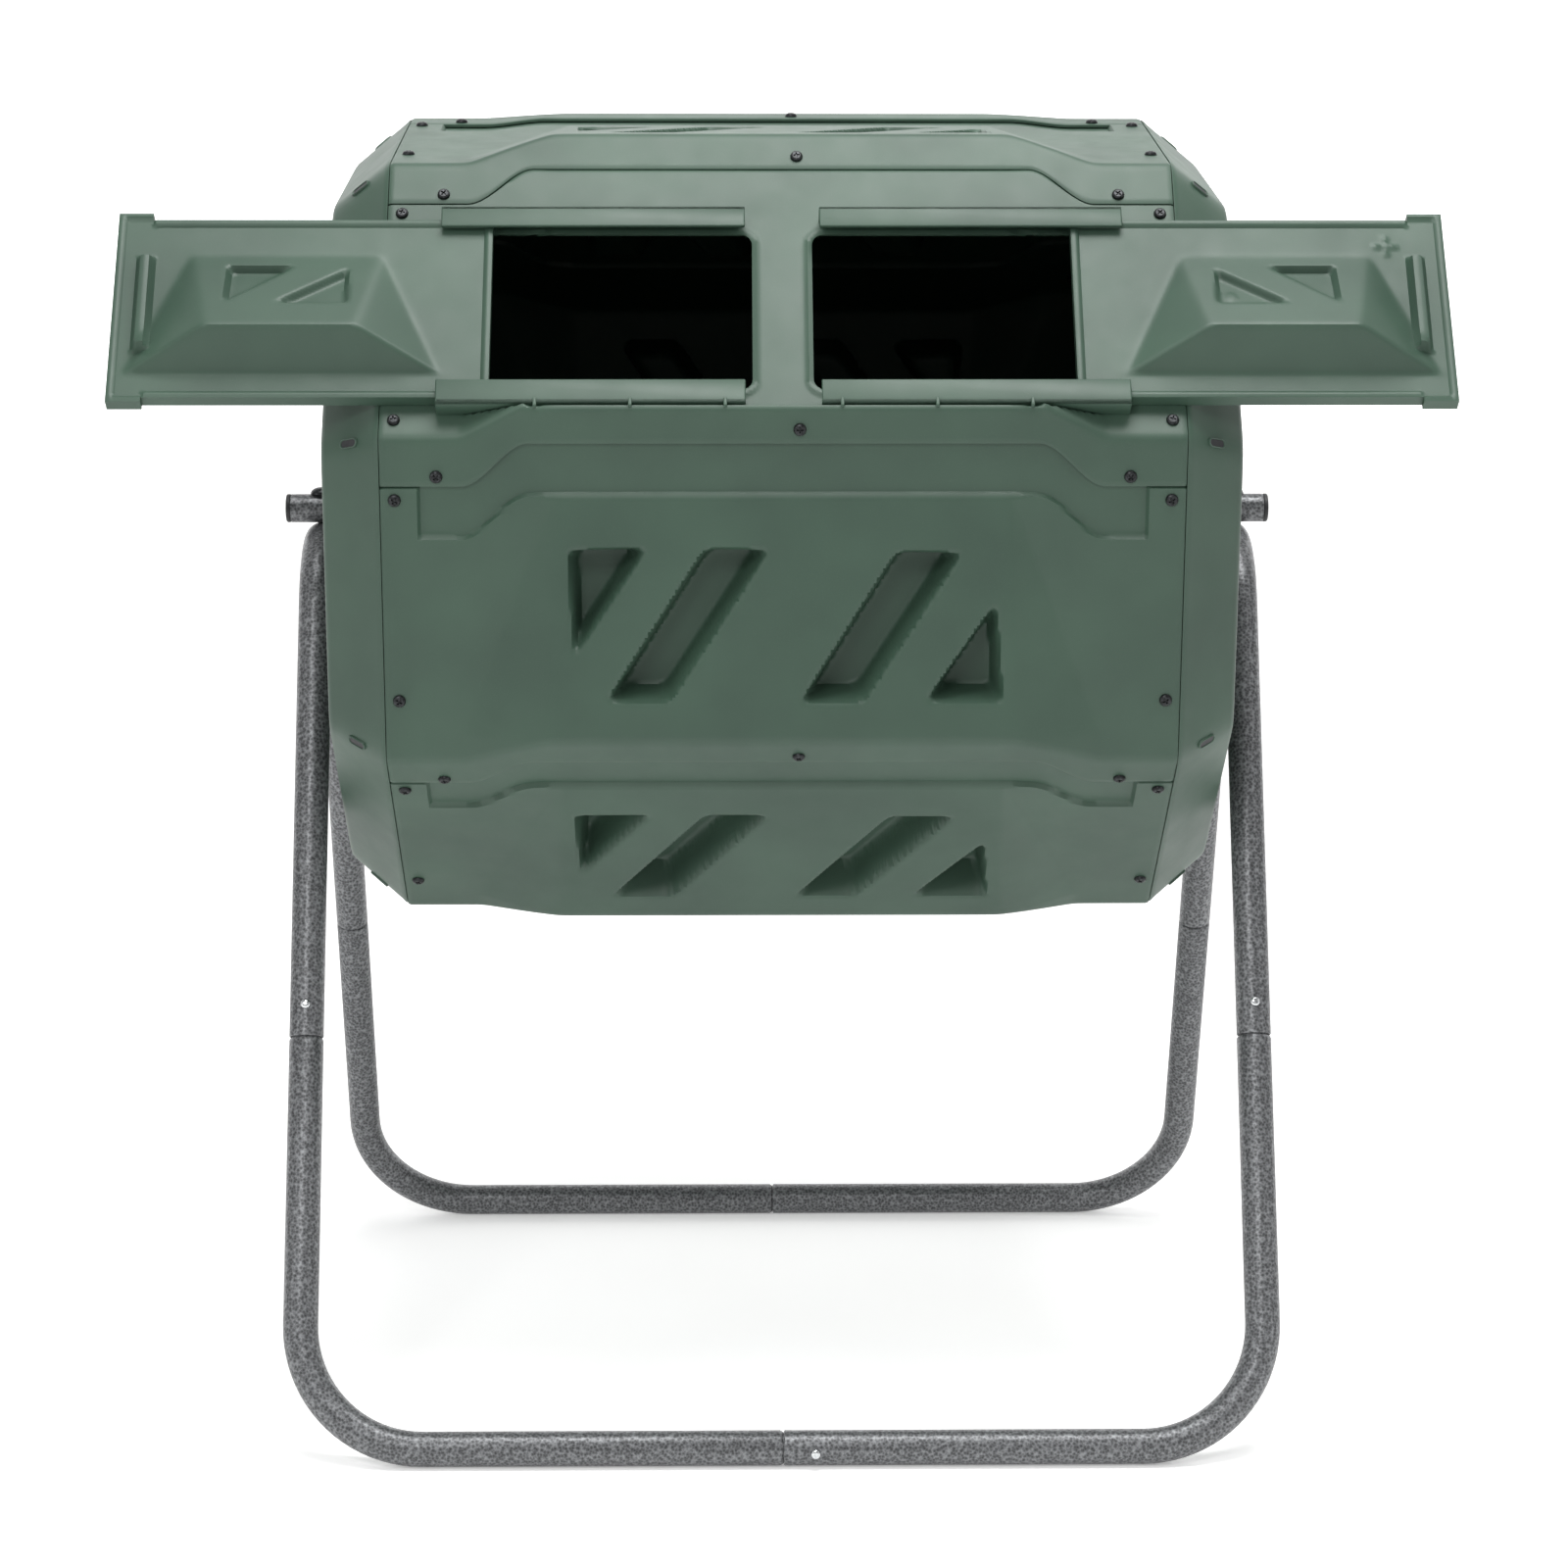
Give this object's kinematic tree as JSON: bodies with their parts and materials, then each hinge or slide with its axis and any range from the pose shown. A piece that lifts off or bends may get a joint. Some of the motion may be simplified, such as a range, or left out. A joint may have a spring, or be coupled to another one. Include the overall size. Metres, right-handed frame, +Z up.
{
  "type": "compost tumbler",
  "caption": "Compost tumbler: an octagonal drum with inner chambers and sliding doors, turning on a fixed axle across a bent tube stand.",
  "frame": {"origin": "on the floor under the middle of the axle", "axes": "+X along the axle to the right, +Y to the back, +Z up; the doors are on the upper front of the drum"},
  "size_m": [0.926, 0.6508, 0.9382],
  "materials": {
    "green_plastic": "fine moulded grain",
    "tube_paint": "dark hammered paint",
    "black_steel": "black coated screws and bolts",
    "black_plastic": "black moulded plugs",
    "bright_steel": "bright spring steel"
  },
  "bodies": {
    "frame": {"axle_tube": "tube_paint", "axle_plug_right": "black_plastic", "axle_plug_left": "black_plastic", "upper_frame_left": "tube_paint", "upper_frame_right": "tube_paint", "lower_tube_front_left": "tube_paint", "lower_tube_front_right": "tube_paint", "lower_tube_rear_left": "tube_paint", "lower_tube_rear_right": "tube_paint", "axle_bolt_left": "black_steel", "axle_bolt_right": "black_steel", "axle_nut_left": "black_steel", "axle_nut_right": "black_steel"},
    "drum": {"front_panel": "green_plastic", "door_panel": "green_plastic", "top_panel": "green_plastic", "rear_upper_panel": "green_plastic", "rear_panel": "green_plastic", "rear_lower_panel": "green_plastic", "bottom_panel": "green_plastic", "front_lower_panel": "green_plastic", "screw_left_1": "black_steel", "screw_middle_1": "black_steel", "screw_right_1": "black_steel", "screw_left_2": "black_steel", "screw_middle_2": "black_steel", "screw_right_2": "black_steel", "screw_left_3": "black_steel", "screw_middle_3": "black_steel", "screw_right_3": "black_steel", "screw_left_4": "black_steel", "screw_middle_4": "black_steel", "screw_right_4": "black_steel", "screw_left_5": "black_steel", "screw_middle_5": "black_steel", "screw_right_5": "black_steel", "screw_left_6": "black_steel", "screw_middle_6": "black_steel", "screw_right_6": "black_steel", "screw_left_7": "black_steel", "screw_middle_7": "black_steel", "screw_right_7": "black_steel", "screw_left_8": "black_steel", "screw_middle_8": "black_steel", "screw_right_8": "black_steel", "end_cap_right": "green_plastic", "end_cap_left": "green_plastic", "partition": "green_plastic"},
    "left_door": {"door_left": "green_plastic"},
    "right_door": {"door_right": "green_plastic"},
    "snap_button_front_left": {"snap_button_front_left": "bright_steel"},
    "snap_button_front_right": {"snap_button_front_right": "bright_steel"},
    "snap_button_front_base": {"snap_button_front_base": "bright_steel"},
    "snap_button_rear_left": {"snap_button_rear_left": "bright_steel"},
    "snap_button_rear_right": {"snap_button_rear_right": "bright_steel"},
    "snap_button_rear_base": {"snap_button_rear_base": "bright_steel"}
  },
  "joints": [
    {"name": "drum_spin", "type": "hinge", "parent": "frame", "child": "drum", "pos_m": [0, 0, 0.6458], "axis": [1, 0, 0], "range_deg": [-180, 70]},
    {"name": "right_door_slide", "type": "slide", "parent": "drum", "child": "right_door", "axis": [-1, 0, 0], "range_m": [0, 0.188]},
    {"name": "left_door_slide", "type": "slide", "parent": "drum", "child": "left_door", "axis": [1, 0, 0], "range_m": [0, 0.188]},
    {"name": "snap_button_front_left_press", "type": "slide", "parent": "frame", "child": "snap_button_front_left", "axis": [0, 0.9162, -0.4007], "range_m": [0, 0.004], "stiffness_N_per_m": 2500, "springref_m": -0.002},
    {"name": "snap_button_front_right_press", "type": "slide", "parent": "frame", "child": "snap_button_front_right", "axis": [0, 0.9162, -0.4007], "range_m": [0, 0.004], "stiffness_N_per_m": 2500, "springref_m": -0.002},
    {"name": "snap_button_front_base_press", "type": "slide", "parent": "frame", "child": "snap_button_front_base", "axis": [0, 1, 0], "range_m": [0, 0.004], "stiffness_N_per_m": 2500, "springref_m": -0.002},
    {"name": "snap_button_rear_left_press", "type": "slide", "parent": "frame", "child": "snap_button_rear_left", "axis": [0, -0.9162, -0.4007], "range_m": [0, 0.004], "stiffness_N_per_m": 2500, "springref_m": -0.002},
    {"name": "snap_button_rear_right_press", "type": "slide", "parent": "frame", "child": "snap_button_rear_right", "axis": [0, -0.9162, -0.4007], "range_m": [0, 0.004], "stiffness_N_per_m": 2500, "springref_m": -0.002},
    {"name": "snap_button_rear_base_press", "type": "slide", "parent": "frame", "child": "snap_button_rear_base", "axis": [0, -1, 0], "range_m": [0, 0.004], "stiffness_N_per_m": 2500, "springref_m": -0.002}
  ]
}
